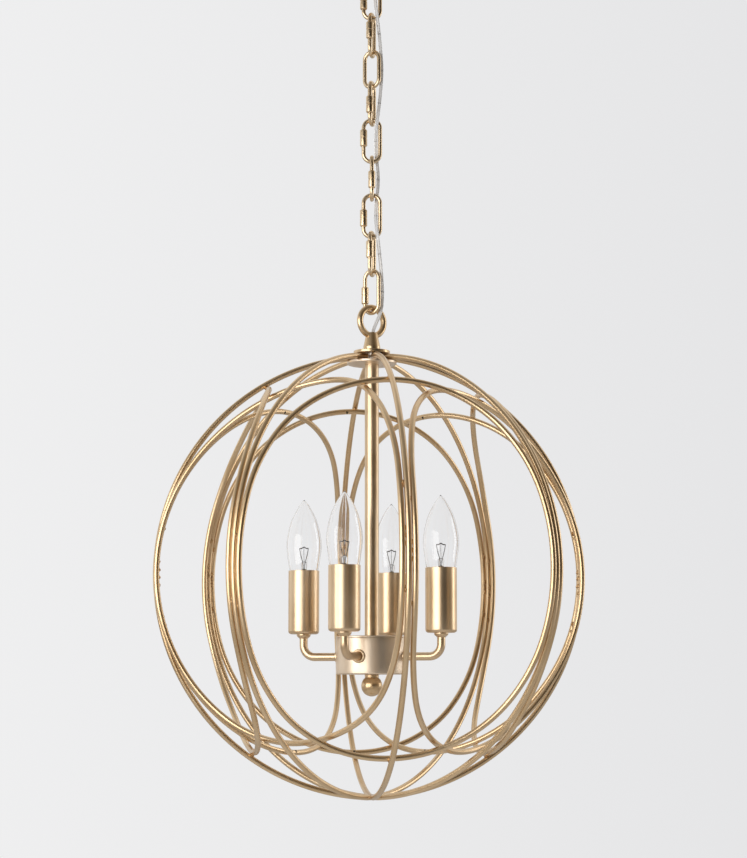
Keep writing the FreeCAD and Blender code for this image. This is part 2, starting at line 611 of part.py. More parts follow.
def bulb_base():
    """The screw cap with its centre contact, and the glass mount that carries the filament."""
    neck_z = SLEEVE_TOP_Z + GLASS_OUTLINE[0][1]
    top = neck_z - CLEAR / 2
    bottom = top - CAP_LENGTH
    cap = turned_profile(
        (0, top), (CAP_RADIUS, top), (CAP_RADIUS, bottom + CAP_TAPER), (CAP_RADIUS / 2, bottom),
        (CAP_RADIUS / 2, bottom - CAP_BUTTON, CAP_BUTTON_ROUND), (0, bottom - CAP_BUTTON))
    foot, waist, tip = [(radius, top + z) for radius, z in MOUNT_OUTLINE]
    mount = turned_profile((0, top), foot, waist, (*tip, MOUNT_ROUND), (0, tip[1]))
    return Part.makeCompound([cap, mount])


def make_lights():
    pieces = {"arm": arm(), "sleeve": sleeve(), "bulb_glass": bulb_glass(), "bulb_base": bulb_base()}
    holder = lampholder()
    bushing = radial_disc(BUSHING_RADIUS, HUB_RADIUS - BUSHING_SEAT, HUB_RADIUS + CLEAR + BUSHING_PROUD,
                          ARM_DIAMETER / 2 + THREAD_CLEAR, ARM_Z)
    bushing = bushing.cut(disc(HUB_RADIUS + CLEAR, HUB_HEIGHT, HUB_BOTTOM_Z))
    nut = hexagon(NUT_ACROSS, NUT_THICK, 0, ARM_DIAMETER / 2 + THREAD_CLEAR)
    nut.rotate(Vector(0, 0, 0), Vector(0, 1, 0), 90)
    nut.translate(Vector(HUB_RADIUS - HUB_WALL - NUT_SEAT - NUT_THICK, 0, ARM_Z))
    groups = {"lampholders": [], "arm_bushings": [], "arm_nuts": []}
    for side, azimuth in ARM_AZIMUTHS.items():
        seat = Vector(ARM_REACH, 0, 0)
        for name, shape in pieces.items():
            placed = shape.copy()
            if name != "arm":
                placed.translate(seat)
            PARTS[f"{name}_{side}"] = turn_to(placed, azimuth)
        placed = holder.copy()
        placed.translate(seat)
        groups["lampholders"].append(turn_to(placed, azimuth))
        groups["arm_bushings"].append(turn_to(bushing, azimuth))
        groups["arm_nuts"].append(turn_to(nut, azimuth))
    for name, shapes in groups.items():
        PARTS[name] = Part.makeCompound(shapes)


# ---------------------------------------------------------------- build
make_ceiling_fitting()
make_chain()
make_cord()
make_stem_and_hub()
make_lights()
make_ball()

os.makedirs("parts", exist_ok=True)
for name, shape in PARTS.items():
    shape.exportStep(f"parts/{name}.step")
print("%d pieces, equator at z = %.2f, sleeves' top edge at z = %.2f"
      % (len(PARTS), ORB_Z, SLEEVE_TOP_Z))
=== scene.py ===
import math

import bmesh
import bpy
import numpy as np
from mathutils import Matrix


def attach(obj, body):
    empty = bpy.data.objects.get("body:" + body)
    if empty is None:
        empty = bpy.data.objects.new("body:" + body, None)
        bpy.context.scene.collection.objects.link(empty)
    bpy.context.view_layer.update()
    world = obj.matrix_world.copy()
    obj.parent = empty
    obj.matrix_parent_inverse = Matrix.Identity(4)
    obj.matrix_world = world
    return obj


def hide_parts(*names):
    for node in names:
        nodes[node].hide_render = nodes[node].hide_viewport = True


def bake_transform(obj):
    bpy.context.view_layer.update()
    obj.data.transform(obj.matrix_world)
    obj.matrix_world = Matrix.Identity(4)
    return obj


# Orb chandelier, dressed. Lengths in the settings are millimetres, angles are degrees;
# azimuth 0 is toward the camera (-Y) and 90 toward the camera's right (+X).

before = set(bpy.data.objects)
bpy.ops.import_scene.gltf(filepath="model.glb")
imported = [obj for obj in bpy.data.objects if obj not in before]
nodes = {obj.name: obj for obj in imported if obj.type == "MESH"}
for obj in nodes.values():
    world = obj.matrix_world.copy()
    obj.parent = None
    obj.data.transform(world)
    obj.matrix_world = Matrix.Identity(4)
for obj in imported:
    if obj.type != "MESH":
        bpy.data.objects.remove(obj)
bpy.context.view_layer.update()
mm = 0.001

# heights on the hanging axis: most are given over the ball's middle
equator = -667.27
overEquator = {
    "equator": 0.0, "sleeveTop": 5.2, "sleeveBottom": -57.4, "hubTop": -60.1, "hubBottom": -97.1,
    "arm": -79.9, "fixtureLoop": 250.47, "washerTop": 220.97, "plateTop": 210.17}
heights = {place: equator + over for place, over in overEquator.items()}
heights["canopyLoop"] = -56.5
pipeHole = 5.1  # radius of the holes that the threaded pipes go through
mergeWithin = 1e-7  # metres between points of a mesh that are one point


# Shapes
def unit(v):
    return v / np.linalg.norm(v, axis=-1, keepdims=True)


def turnZ(points, degrees):
    # a turn about the hanging axis
    c, s = math.cos(math.radians(degrees)), math.sin(math.radians(degrees))
    return points @ np.array([[c, s, 0], [-s, c, 0], [0, 0, 1]])


def toAzimuth(points, azimuth):
    # what was worked out toward +X goes round to an azimuth
    return turnZ(points, azimuth - 90)


def roundedLine(corners, steps=6):
    # straight runs between (x, z) corners; a third number rounds a corner with that radius
    corners = [tuple(c) + (0,) * (3 - len(c)) for c in corners]
    line = []
    for k, (x, z, radius) in enumerate(corners):
        here = np.array([x, z], float)
        if not radius:
            line.append(here[None])
            continue
        back = unit(np.array(corners[k - 1][:2], float) - here)
        ahead = unit(np.array(corners[(k + 1) % len(corners)][:2], float) - here)
        half = (math.pi - math.acos(np.clip(back @ ahead, -1, 1))) / 2
        middle = here + unit(back + ahead) * radius / math.cos(half)
        swing = np.linspace(-half, half, steps + 1)[:, None]
        out, side = -unit(back + ahead), unit(ahead - back)
        line.append(middle + radius * (out * np.cos(swing) + side * np.sin(swing)))
    return np.concatenate(line)


def lathe(profile, around=64):
    # x(t) cos a, x(t) sin a, z(t): a profile turned round the hanging axis
    a = np.linspace(0, 2 * np.pi, around, endpoint=False)
    r, z = profile[:, :1], profile[:, 1:]
    return np.stack([r * np.cos(a), r * np.sin(a), z + 0 * a], -1)


def roundSection(radius, around=20):
    a = np.linspace(0, 2 * np.pi, around, endpoint=False)
    return np.stack([radius * np.cos(a), radius * np.sin(a)], -1)


def sweep(path, section, side, closed=False):
    # path(t) + u(a) side(t) + v(a) up(t), with the frame square to the path's heading
    heading = np.roll(path, -1, 0) - np.roll(path, 1, 0) if closed else np.gradient(path, axis=0)
    heading = unit(heading)
    side = np.broadcast_to(np.asarray(side, float), path.shape)
    side = unit(side - heading * (side * heading).sum(1, keepdims=True))
    up = np.cross(heading, side)
    if section.ndim == 2:
        section = np.broadcast_to(section, (len(path),) + section.shape)
    return path[:, None] + section[..., :1] * side[:, None] + section[..., 1:] * up[:, None]


def capped(grid, start=None):
    # the two ends closed by fans round a middle point
    first = grid[0].mean(0) if start is None else start
    ring = np.ones((1, grid.shape[1], 1))
    return np.concatenate([ring * first, grid, ring * grid[-1].mean(0)])


def skin(name, grids, material, body, replaces=(), closed=False, sharp=35):
    # one mesh from grids of points: quads between neighbouring rings, doubles merged
    points, faces, start = [], [], 0
    for grid in grids if isinstance(grids, list) else [grids]:
        rings, around = grid.shape[:2]
        index = start + np.arange(rings * around).reshape(rings, around)
        near = index if closed else index[:-1]
        far = np.roll(index, -1, 0) if closed else index[1:]
        quads = [near, np.roll(near, -1, 1), np.roll(far, -1, 1), far]
        faces.append(np.stack(quads, -1).reshape(-1, 4))
        points.append(grid.reshape(-1, 3) * mm)
        start += rings * around
    mesh = bpy.data.meshes.new(name)
    mesh.from_pydata(np.concatenate(points).tolist(), [], np.concatenate(faces).tolist())
    cleaned = bmesh.new()
    cleaned.from_mesh(mesh)
    bmesh.ops.remove_doubles(cleaned, verts=cleaned.verts, dist=mergeWithin)
    bmesh.ops.dissolve_degenerate(cleaned, edges=cleaned.edges, dist=mergeWithin)
    bmesh.ops.recalc_face_normals(cleaned, faces=cleaned.faces)
    cleaned.to_mesh(mesh)
    cleaned.free()
    mesh.polygons.foreach_set("use_smooth", np.ones(len(mesh.polygons), bool))
    mesh.set_sharp_from_angle(angle=math.radians(sharp))
    mesh.materials.append(material)
    piece = bpy.data.objects.new(name, mesh)
    bpy.context.scene.collection.objects.link(piece)
    if body:
        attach(piece, body)
    if replaces:
        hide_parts(*replaces)
    return piece


# Shader maths
class Wire:
    # a socket with the usual operators; numbers alone stay in Python
    def __init__(self, tree, socket):
        self.tree, self.socket = tree, socket

    def math(self, operation, other=None, flip=False):
        values = [other, self] if flip else [self, other]
        return self.tree.add("ShaderNodeMath", {"operation": operation},
                             {k: v for k, v in enumerate(values) if v is not None})

    def __add__(self, other):
        return self.math("ADD", other)

    def __sub__(self, other):
        return self.math("SUBTRACT", other)

    def __rsub__(self, other):
        return self.math("SUBTRACT", other, True)

    def __mul__(self, other):
        return self.math("MULTIPLY", other)

    __radd__, __rmul__ = __add__, __mul__

    def clamped(self):
        return self.math("MINIMUM", 1.0).math("MAXIMUM", 0.0)

    def between(self, low, high):
        # 0 below low, 1 above high
        return ((self - low) * (1 / (high - low))).clamped()


class Tree:
    def __init__(self, nodeTree):
        self.tree = nodeTree
        self.tree.nodes.clear()

    def add(self, kind, settings=None, values=None, output=0):
        node = self.tree.nodes.new(kind)
        for key, value in (settings or {}).items():
            setattr(node, key, value)
        for key, value in (values or {}).items():
            socket = node.inputs[key]
            if isinstance(value, Wire):
                self.tree.links.new(value.socket, socket)
            else:
                socket.default_value = value
        return Wire(self, node.outputs[output]) if len(node.outputs) else None

    def mixColor(self, share, first, second):
        # sockets 6 and 7 and output 2 are the colour ones
        return self.add("ShaderNodeMix", {"data_type": "RGBA"}, {0: share, 6: first, 7: second}, 2)

    def place(self, scale=(1, 1, 1)):
        here = self.add("ShaderNodeTexCoord", output="Object")
        return self.add("ShaderNodeMapping", values={"Vector": here, "Scale": scale})

    def noise(self, vector, scale, detail=2.0, rough=0.5):
        return self.add("ShaderNodeTexNoise", values={
            "Vector": vector, "Scale": scale, "Detail": detail, "Roughness": rough})

    def bump(self, height, strength, distance):
        return self.add("ShaderNodeBump", values={
            "Strength": strength, "Distance": distance, "Height": height})

    def seenThrough(self):
        # 1 for the camera's own rays, also through glass
        throughGlass = self.add("ShaderNodeLightPath", output="Is Transmission Ray")
        return self.add("ShaderNodeLightPath", output="Is Camera Ray").math("MAXIMUM", throughGlass)


def newMaterial(name, build, **principled):
    material = bpy.data.materials.new(name)
    material.use_nodes = True
    tree = Tree(material.node_tree)
    values = dict(principled)
    values.update(build(tree) or {})
    shader = tree.add("ShaderNodeBsdfPrincipled", values=values)
    tree.add("ShaderNodeOutputMaterial", values={"Surface": shader})
    return material


def rgb(r, g, b):
    return (r, g, b, 1.0)


# Finishes
goldPaint = {
    "light": rgb(0.82, 0.63, 0.41), "deep": rgb(0.64, 0.45, 0.25), "metallic": 0.97,
    "mottleScale": 24.0, "mottleDetail": 3.0, "mottleRange": (0.3, 0.7), "mottle": 0.7,
    "flakeScale": 900.0, "flakeRough": 0.7, "flakeRange": (0.35, 0.75), "flake": 0.08,
    "peelScale": 260.0, "peel": 0.02, "peelDepth": 0.0002,
    "roughness": 0.27, "mottleDull": 0.06, "flakeDull": 0.03, "coat": 0.12, "coatRoughness": 0.2}
satinPaint = dict(goldPaint, light=rgb(0.83, 0.66, 0.46), deep=rgb(0.69, 0.51, 0.32),
                  roughness=0.30)
# a lighter copy of the gold paint for the hub and top plate: painted light, as these parts are lit
# brighter
litHubPaint = dict(goldPaint, light=rgb(0.88, 0.75, 0.60), deep=rgb(0.78, 0.64, 0.49), roughness=0.36)
chainPaint = dict(goldPaint, light=rgb(0.82, 0.66, 0.45), deep=rgb(0.70, 0.53, 0.34),
                  roughness=0.22, flake=0.05, peel=0.0)
weldPaint = dict(goldPaint, light=rgb(0.72, 0.47, 0.24), deep=rgb(0.46, 0.29, 0.15), roughness=0.38)
# near-black: painted shade for the dark inside of a vent hole
ventHolePaintedShade = {"scale": 400.0, "dark": rgb(0.02, 0.015, 0.01), "light": rgb(0.06, 0.045, 0.03)}
capBrass = {"scale": 300.0, "detail": 3.0, "dark": rgb(0.55, 0.42, 0.22),
            "light": rgb(0.78, 0.64, 0.38), "roughness": 0.2, "dull": 0.2}
holderResin = {"scale": 900.0, "dark": rgb(0.74, 0.72, 0.66), "light": rgb(0.84, 0.82, 0.76),
               "roughness": 0.45, "dull": 0.1, "bump": 0.05, "depth": 0.0003}
clearGlass = {"scale": 45.0, "detail": 1.0, "bump": 0.03, "depth": 0.0005}
leadWire = {"scale": 1500.0, "dark": rgb(0.05, 0.045, 0.04), "light": rgb(0.20, 0.18, 0.17),
            "roughness": 0.3, "dull": 0.15}
cordJacket = {"scale": 90.0, "dark": rgb(0.90, 0.90, 0.91), "light": rgb(0.96, 0.96, 0.97),
              "roughness": 0.10, "dull": 0.1}
brushedSteel = {
    "lineScale": 700.0, "lineDetail": 3.0, "lineStretch": (1, 1, 9), "cloudScale": 60.0,
    "dark": rgb(0.50, 0.50, 0.49), "light": rgb(0.66, 0.66, 0.65), "roughness": 0.25, "dull": 0.2,
    "bump": 0.08, "depth": 0.0002}
cordStrands = {
    "scale": 260.0, "stretch": (1, 1, 1.6), "distortion": 1.5, "dark": rgb(0.50, 0.50, 0.52),
    "light": rgb(0.78, 0.78, 0.80), "roughness": 0.2, "dull": 0.1, "bump": 0.1, "depth": 0.0002}


def metallicPaint(name, look):
    # sprayed metallic paint: clouds in the coat, mica flakes, a faint orange peel
    def build(t):
        here = t.place()
        mottle = t.noise(here, look["mottleScale"], look["mottleDetail"])
        mottle = mottle.between(*look["mottleRange"])
        flake = t.noise(here, look["flakeScale"], 1.0, look["flakeRough"])
        flake = flake.between(*look["flakeRange"])
        share = mottle * look["mottle"] + flake * look["flake"]
        peel = t.noise(here, look["peelScale"])
        return {"Base Color": t.mixColor(share, look["deep"], look["light"]),
                "Normal": t.bump(peel, look["peel"], look["peelDepth"]),
                "Roughness": look["roughness"] + look["mottleDull"] * mottle
                + look["flakeDull"] * flake}
    return newMaterial(name, build, **{
        "Metallic": look["metallic"], "Coat Weight": look["coat"],
        "Coat Roughness": look["coatRoughness"]})


def clouded(name, look, **principled):
    # one soft cloud sets the colour, the roughness and a faint bump, as far as they are given
    def build(t):
        cloud = t.noise(t.place(), look["scale"], look.get("detail", 2.0))
        values = {}
        if "dark" in look:
            values["Base Color"] = t.mixColor(cloud, look["dark"], look["light"])
        if "roughness" in look:
            values["Roughness"] = look["roughness"] + look["dull"] * cloud
        if "bump" in look:
            values["Normal"] = t.bump(cloud, look["bump"], look["depth"])
        return values
    return newMaterial(name, build, **principled)


def steelBuild(t):
    look = brushedSteel
    lines = t.noise(t.place(look["lineStretch"]), look["lineScale"], look["lineDetail"])
    cloud = t.noise(t.place(), look["cloudScale"])
    return {"Base Color": t.mixColor(cloud, look["dark"], look["light"]),
            "Roughness": look["roughness"] + look["dull"] * lines,
            "Normal": t.bump(lines, look["bump"], look["depth"])}


def strandBuild(t):
    # tinned strands twisted under the jacket
    look = cordStrands
    strands = t.add("ShaderNodeTexWave", {"bands_direction": "DIAGONAL"}, {
        "Vector": t.place(look["stretch"]), "Scale": look["scale"],
        "Distortion": look["distortion"]}, 1)
    return {"Base Color": t.mixColor(strands, look["dark"], look["light"]),
            "Roughness": look["roughness"] + look["dull"] * strands,
            "Normal": t.bump(strands, look["bump"], look["depth"])}


gold = metallicPaint("goldPaint", goldPaint)
satinGold = metallicPaint("satinPaint", satinPaint)
# lighter copy of the gold paint: painted light on the hub and top plate
litHubGold = metallicPaint("litHubPaint", litHubPaint)
chainGold = metallicPaint("chainPaint", chainPaint)
weldGold = metallicPaint("weldPaint", weldPaint)
# painted shade for the vent holes
ventPaintedShadeMaterial = clouded("ventHolePaintedShade", ventHolePaintedShade, Roughness=0.9)
steel = newMaterial("brushedSteel", steelBuild, Metallic=1.0)
brass = clouded("capBrass", capBrass, Metallic=1.0)
resin = clouded("holderResin", holderResin)
glass = clouded("clearGlass", clearGlass, **{
    "Base Color": rgb(1, 1, 1), "Roughness": 0.0, "IOR": 1.46, "Transmission Weight": 1.0})
wireMetal = clouded("leadWire", leadWire, Metallic=0.8)
cordGloss = {"IOR": 1.45, "Coat Weight": 0.5, "Coat Roughness": 0.05}
jacket = clouded("cordJacket", cordJacket, **cordGloss)
bundle = newMaterial("cordStrands", strandBuild, **cordGloss)
print("finishes ready")

# Ball of rods
ball = {
    "radius": 210.0, "halfHeight": 215.3, "rod": 2.8, "gap": 0.3, "mitre": 8.0, "bundles": 8,
    "firstBundle": 9.0, "topRadius": 9.2, "halfHeights": (175.5, 171.0), "fullness": 0.012,
    "spans": 8, "layers": (1.02, 2.5), "footLift": 0.12, "ribSteps": 150, "headingStep": 1e-3,
    "set": ((1, 5), (1, -6), (2, -6), (-3, -1), (0, 1), (-3, 4), (4, -4), (10, 9))}
ribCentre = (ball["radius"] ** 2 - ball["halfHeight"] ** 2) / (2 * ball["radius"])
ribArc = ball["radius"] - ribCentre
layer = 2 * ball["rod"] + ball["gap"]
bundleTurn = 360 / ball["bundles"]


def ribPath(count):
    # a circle's arc from the bottom pole to the washer
    low = -math.acos(-ribCentre / ribArc)
    high = math.acos((ball["topRadius"] - ribCentre) / ribArc)
    a = np.concatenate([[low], np.linspace(low + ball["mitre"] / ribArc, high, count)])
    out = np.stack([np.cos(a), 0 * a, np.sin(a)], -1)
    return out * ribArc + [ribCentre, 0, 0], out


def ribGrid(azimuth):
    # its lower end is mitred between its neighbours
    path, out = ribPath(ball["ribSteps"])
    grid = sweep(path, roundSection(ball["rod"]), out)
    halfWedge = math.radians(bundleTurn / 2)
    tip = ball["gap"] / 2 / math.sin(halfWedge)
    grid[0, :, 0] = tip + np.abs(grid[0, :, 1]) / math.tan(halfWedge)
    grid[0, :, 2] = grid[1, :, 2] - ball["footLift"]
    foot = np.array([tip, 0, grid[0, :, 2].mean()])
    grid = toAzimuth(capped(grid, start=foot), azimuth)
    return grid + [0, 0, heights["equator"]]


def orbReach(height, depth):
    # how far the ball's surface is from the axis at a height, a depth further in
    return ribCentre + np.sqrt((ribArc - depth) ** 2 - height ** 2)


def ringPoint(index, turn):
    # a rounded oval drawn on the ball, deeper at its top and foot; lifted and tilted as welded in
    lift, tilt = ball["set"][index]
    square = 1 - ball["fullness"]
    across = (np.cos(turn) - ball["fullness"] * np.cos(3 * turn)) / square
    upward = (np.sin(turn) + ball["fullness"] * np.sin(3 * turn)) / square
    depth = ball["layers"][index % 2] * layer * upward ** 2
    trueHeight = ball["halfHeights"][index % 2] * upward
    halfTurn = math.radians(bundleTurn) - layer / ball["radius"]
    swing = np.arcsin(ball["radius"] * math.sin(halfTurn) * across / orbReach(trueHeight, depth))
    height = trueHeight + lift + tilt * across
    azimuth = np.radians(ball["firstBundle"] + bundleTurn * index) + swing
    reach = orbReach(height, depth)
    return np.stack([reach * np.sin(azimuth), -reach * np.cos(azimuth), height], -1)


def arcRun(start, knee, end, steps):
    # a circle's arc as a weighted curve through its knee
    w = unit(end - start)
    w = (w * unit(knee - start)).sum(-1)[:, None, None]
    t = np.linspace(0, 1, steps, endpoint=False)[None, :, None]
    a, b, c = (1 - t) ** 2, 2 * w * t * (1 - t), t ** 2
    return (a * start[:, None] + b * knee[:, None] + c * end[:, None]) / (a + b + c)


def ringPath(index, steps=11):
    # two arcs for each span, as the rod was bent
    turn = np.arange(ball["spans"]) * 2 * np.pi / ball["spans"]
    here = ringPoint(index, turn)
    step = ball["headingStep"]
    heading = unit(ringPoint(index, turn + step) - ringPoint(index, turn - step))
    there, arrive = np.roll(here, -1, 0), np.roll(heading, -1, 0)
    chord = there - here
    along = (chord * (heading + arrive)).sum(1)
    spread = 2 * (1 - (heading * arrive).sum(1))
    reach = ((np.sqrt(along ** 2 + spread * (chord * chord).sum(1)) - along) / spread)[:, None]
    firstKnee, lastKnee = here + heading * reach, there - arrive * reach
    joint = (firstKnee + lastKnee) / 2
    first = arcRun(here, firstKnee, joint, steps)
    second = arcRun(joint, lastKnee, there, steps)
    return np.concatenate([first, second], 1).reshape(-1, 3)


centreOfBall = np.array([0, 0, heights["equator"]])
for k in range(ball["bundles"]):
    number = k + 1
    skin(f"ballRib{number}", ribGrid(ball["firstBundle"] + bundleTurn * k), gold, "orb",
         [f"rib_{number}"])
    path = ringPath(k)
    skin(f"ballRing{number}", sweep(path, roundSection(ball["rod"]), path, True) + centreOfBall,
         gold, "orb", [f"ring_{number}"], closed=True)

# Welds, and vent holes shown as near-black blobs of painted shade
weld = {
    "near": 6.12, "sizes": (2.4, 1.4, 2.6), "lump": 0.25, "lumps": 3, "latitudes": 13,
    "around": 18, "longRun": 15, "spots": (0.0, 0.42, 0.5, 0.58, 1.0), "inside": 1.4,
    "poleSizes": (2.6, 8.5, 8.5), "poleSeed": 1.0, "ribSteps": 600, "arcSteps": 45}
vent = {"turns": (86.5, 270.5), "radius": 1.5, "depth": 0.8, "sunk": 0.7, "level": 0.35}


def lumpyBall(middle, axes, sizes, seed=0.0):
    # a ball stretched along its axes, with a slow wave over it
    up = np.linspace(-np.pi / 2, np.pi / 2, weld["latitudes"])[:, None]
    turn = np.linspace(0, 2 * np.pi, weld["around"], endpoint=False)[None]
    wave = np.cos(up) ** 2 * np.sin(weld["lumps"] * turn + seed) * np.sin(2 * up + seed)
    local = np.stack([np.sin(up) + 0 * turn, np.cos(up) * np.cos(turn),
                      np.cos(up) * np.sin(turn)], -1)
    return middle + local * (1 + weld["lump"] * wave[..., None]) * sizes @ np.array(axes)


def weldBeads(rib, ring):
    # at a crossing, or along the inner side of a stretch in which two rods nearly touch
    apart = np.linalg.norm(rib[:, None] - ring[None], axis=2)
    close = np.flatnonzero(apart.min(1) < weld["near"])
    beads = []
    for run in np.split(close, np.flatnonzero(np.diff(close) > 1) + 1) if len(close) else []:
        shares = weld["spots"] if len(run) > weld["longRun"] else (0.5,)
        for spot in (run[int(share * (len(run) - 1))] for share in shares):
            across = ring[apart[spot].argmin()] - rib[spot]
            middle, across = rib[spot] + across / 2, unit(across)
            middle = middle - unit(middle) * weld["inside"] * (len(shares) > 1)
            along = rib[spot + 1] - rib[spot - 1]
            along = unit(along - across * (along @ across))
            axes = (along, across, np.cross(along, across))
            beads.append(lumpyBall(middle, axes, weld["sizes"], float(spot)))
    return beads


beads = [lumpyBall(np.array([0, 0, -ball["halfHeight"]]), ((0, 0, 1), (1, 0, 0), (0, 1, 0)),
                   weld["poleSizes"], weld["poleSeed"])]
paintedVentBlobs = []
for k in range(ball["bundles"]):
    azimuth = ball["firstBundle"] + bundleTurn * k
    ribLine = toAzimuth(ribPath(weld["ribSteps"])[0], azimuth)
    for neighbour in (k, (k - 1) % ball["bundles"], (k + 1) % ball["bundles"]):
        beads += weldBeads(ribLine, ringPath(neighbour, weld["arcSteps"]))
    for turn in vent["turns"]:
        # a near-black blob on the rod's inner side: painted shade standing for a vent hole's dark
        # inside
        spot = ringPoint(k, np.radians(turn))
        inward, side = -unit(spot * [1, 1, vent["level"]]), unit(np.cross(spot, (0, 0, 1)))
        middle = spot + inward * (ball["rod"] - vent["depth"] * vent["sunk"])
        paintedVentBlobs.append(lumpyBall(middle, (inward, side, np.cross(inward, side)),
                               (vent["depth"], vent["radius"], vent["radius"])))
skin("weldBeads", [bead + centreOfBall for bead in beads], weldGold, "orb", sharp=180)
# the vent holes are near-black blobs of painted shade, not holes cut in the rods
skin("paintedVentHoleShade", [hole + centreOfBall for hole in paintedVentBlobs], ventPaintedShadeMaterial, "orb")
print("ball of rods ready,", len(beads), "welds")

# Chain
# each link's turn and the height of its barrel over its middle, from the canopy down
chain = {
    "length": 46.8, "plainLength": 40.6, "width": 20.5, "wire": 2.05, "gap": 0.3, "bendSteps": 25,
    "links": ((0, -3), (75, 3), (-30, None), (75, -3), (0, 3), (90, -3), (0, -2), (75, 3),
              (-35, -3))}
barrel = {
    "radius": 3.65, "length": 17.3, "inner": 0.96, "setBack": 0.4, "bevel": 0.9,
    "rimRound": 0.25, "edgeRound": 0.4, "grooveTop": 0.75, "grooveFloor": 0.45, "grooveDepth": 0.35}
loop = {
    "radius": 14.15, "wire": 3.1, "bossEnd": 29.5, "bossTop": 5.4, "bossFoot": 8.4, "bore": 3.6,
    "boreDepth": 9.0, "skirt": 4.0, "canopyTurn": 90.0, "fixtureTurn": 35.0}


def linkPath(reach):
    # two half circles joined by straight runs, in the XZ plane
    bend = chain["width"] / 2 - chain["wire"]
    straight = reach - bend
    a = np.linspace(0, np.pi, chain["bendSteps"])
    top = np.stack([bend * np.cos(a), 0 * a, straight + bend * np.sin(a)], -1)
    return np.concatenate([top, -top])


def barrelProfile():
    # bevelled at both ends, with a groove round its middle
    half, r, bevel = barrel["length"] / 2, barrel["radius"], barrel["bevel"]
    groove = r - barrel["grooveDepth"]
    upper = [(chain["wire"] * barrel["inner"], half - barrel["setBack"]),
             (r - bevel, half, barrel["rimRound"]), (r, half - bevel, barrel["edgeRound"]),
             (r, barrel["grooveTop"]), (groove, barrel["grooveFloor"])]
    lower = [(x, -z, *corner) for x, z, *corner in reversed(upper)]
    return roundedLine(upper + lower, 3)


linkMiddles = []
pivots = [heights["canopyLoop"] - loop["radius"]]
crown = pivots[0] + loop["wire"] + chain["wire"] + chain["gap"]
for number, (turn, barrelAt) in enumerate(chain["links"], 1):
    reach = chain["plainLength" if barrelAt is None else "length"] / 2 - chain["wire"]
    linkMiddles.append(crown - reach)
    pivots.append(crown - 2 * reach)
    crown = pivots[-1] + 2 * chain["wire"] + chain["gap"]
    lift = np.array([0, 0, linkMiddles[-1]])
    wire = sweep(linkPath(reach), roundSection(chain["wire"], 18), (0, 1, 0), True)
    skin(f"chainLink{number}", turnZ(wire, turn) + lift, chainGold, f"link_{number}",
         [f"chain_link_{number}"], closed=True)
    if barrelAt is not None:
        at = np.array([-(chain["width"] / 2 - chain["wire"]), 0, barrelAt])
        sleeve = lathe(barrelProfile(), 36) + at
        skin(f"chainBarrel{number}", turnZ(sleeve, turn) + lift, chainGold, f"link_{number}",
             closed=True)


def castLoop(upsideDown):
    # a ring and its waisted boss, sunk into each other
    a = np.linspace(0, 2 * np.pi, 72, endpoint=False)
    ring = np.stack([loop["radius"] * np.cos(a), 0 * a, loop["radius"] * np.sin(a)], -1)
    ringGrid = sweep(ring, roundSection(loop["wire"], 24), (0, 1, 0), True)
    shelf, foot = loop["wire"] - loop["radius"], -loop["bossEnd"]
    boreEnd = shelf - loop["boreDepth"]
    profile = roundedLine([
        (loop["bore"], boreEnd), (loop["bore"], shelf, 0.6), (loop["bossTop"], shelf, 0.9),
        (loop["bossFoot"], foot + loop["skirt"], 2), (loop["bossFoot"], foot, 0.5),
        (pipeHole, foot), (pipeHole, boreEnd)], 5)
    boss = lathe(profile, 48)
    flip = [1, -1, -1] if upsideDown else [1, 1, 1]
    return [ringGrid * flip, boss * flip]


for name, node, turn, body, upsideDown in (
        ("canopyLoop", "canopy_loop", loop["canopyTurn"], "ceiling", True),
        ("fixtureLoop", "fixture_loop", loop["fixtureTurn"], "orb", False)):
    grids = [turnZ(grid, turn) + [0, 0, heights[name]] for grid in castLoop(upsideDown)]
    skin(name, grids, gold, body, [node], closed=True)
print("chain ready")

# Turned pieces on the axis
washer, plate, lid, cup = (heights[k] for k in ("washerTop", "plateTop", "hubTop", "hubBottom"))
turned = {
    "canopy": (64, "canopy", "ceiling", satinGold, [
        (62.5, -0.3), (62.5, -8.3, 7), (30, -22, 12), (pipeHole, -22), (pipeHole, -20.8),
        (30, -20.8, 11), (61.3, -7.7, 6), (61.3, -0.3)]),
    "canopyNut": (48, "canopy_nut", "ceiling", gold, [
        (pipeHole, -22), (9.5, -22, 0.6), (9.5, -27, 1.2), (pipeHole, -27)]),
    "topWasher": (64, "top_washer", "orb", gold, [
        (pipeHole, washer), (18, washer, 0.5), (18, washer - 3, 0.5), (pipeHole, washer - 3)]),
    "topPlate": (64, "top_plate", "orb", litHubGold, [
        (pipeHole, plate), (24.5, plate, 0.5), (24.5, plate - 2.5, 0.5), (pipeHole, plate - 2.5)]),
    "stemTube": (48, "stem", "orb", satinGold, [
        (pipeHole, plate - 2.5), (6.9, plate - 2.5), (6.9, lid), (pipeHole, lid)]),
    "hubCup": (96, "hub_cup", "orb", litHubGold, [
        (pipeHole, cup), (35, cup, 1.2), (35, lid - 2, 0.25), (33.5, lid - 2), (33.5, cup + 1.5),
        (pipeHole, cup + 1.5)]),
    "hubLid": (96, "hub_lid", "orb", litHubGold, [
        (pipeHole, lid), (35, lid, 0.7), (35, lid - 1.8, 0.25), (33.2, lid - 2),
        (33.2, lid - 5), (31.7, lid - 5), (31.7, lid - 2), (pipeHole, lid - 2)])}


def denser(profile, longest=6.0):
    # long straight runs are divided, so that the mesh has even faces
    following = np.roll(profile, -1, 0)
    lengths = np.linalg.norm(following - profile, axis=1)
    counts = np.maximum(1, np.ceil(lengths / longest)).astype(int)
    start, step = np.repeat(profile, counts, 0), np.repeat(following - profile, counts, 0)
    share = np.concatenate([np.arange(n) / n for n in counts])[:, None]
    return start + step * share


for name, (around, node, body, material, corners) in turned.items():
    skin(name, lathe(denser(roundedLine(corners)), around), material, body, [node],
         closed=True)

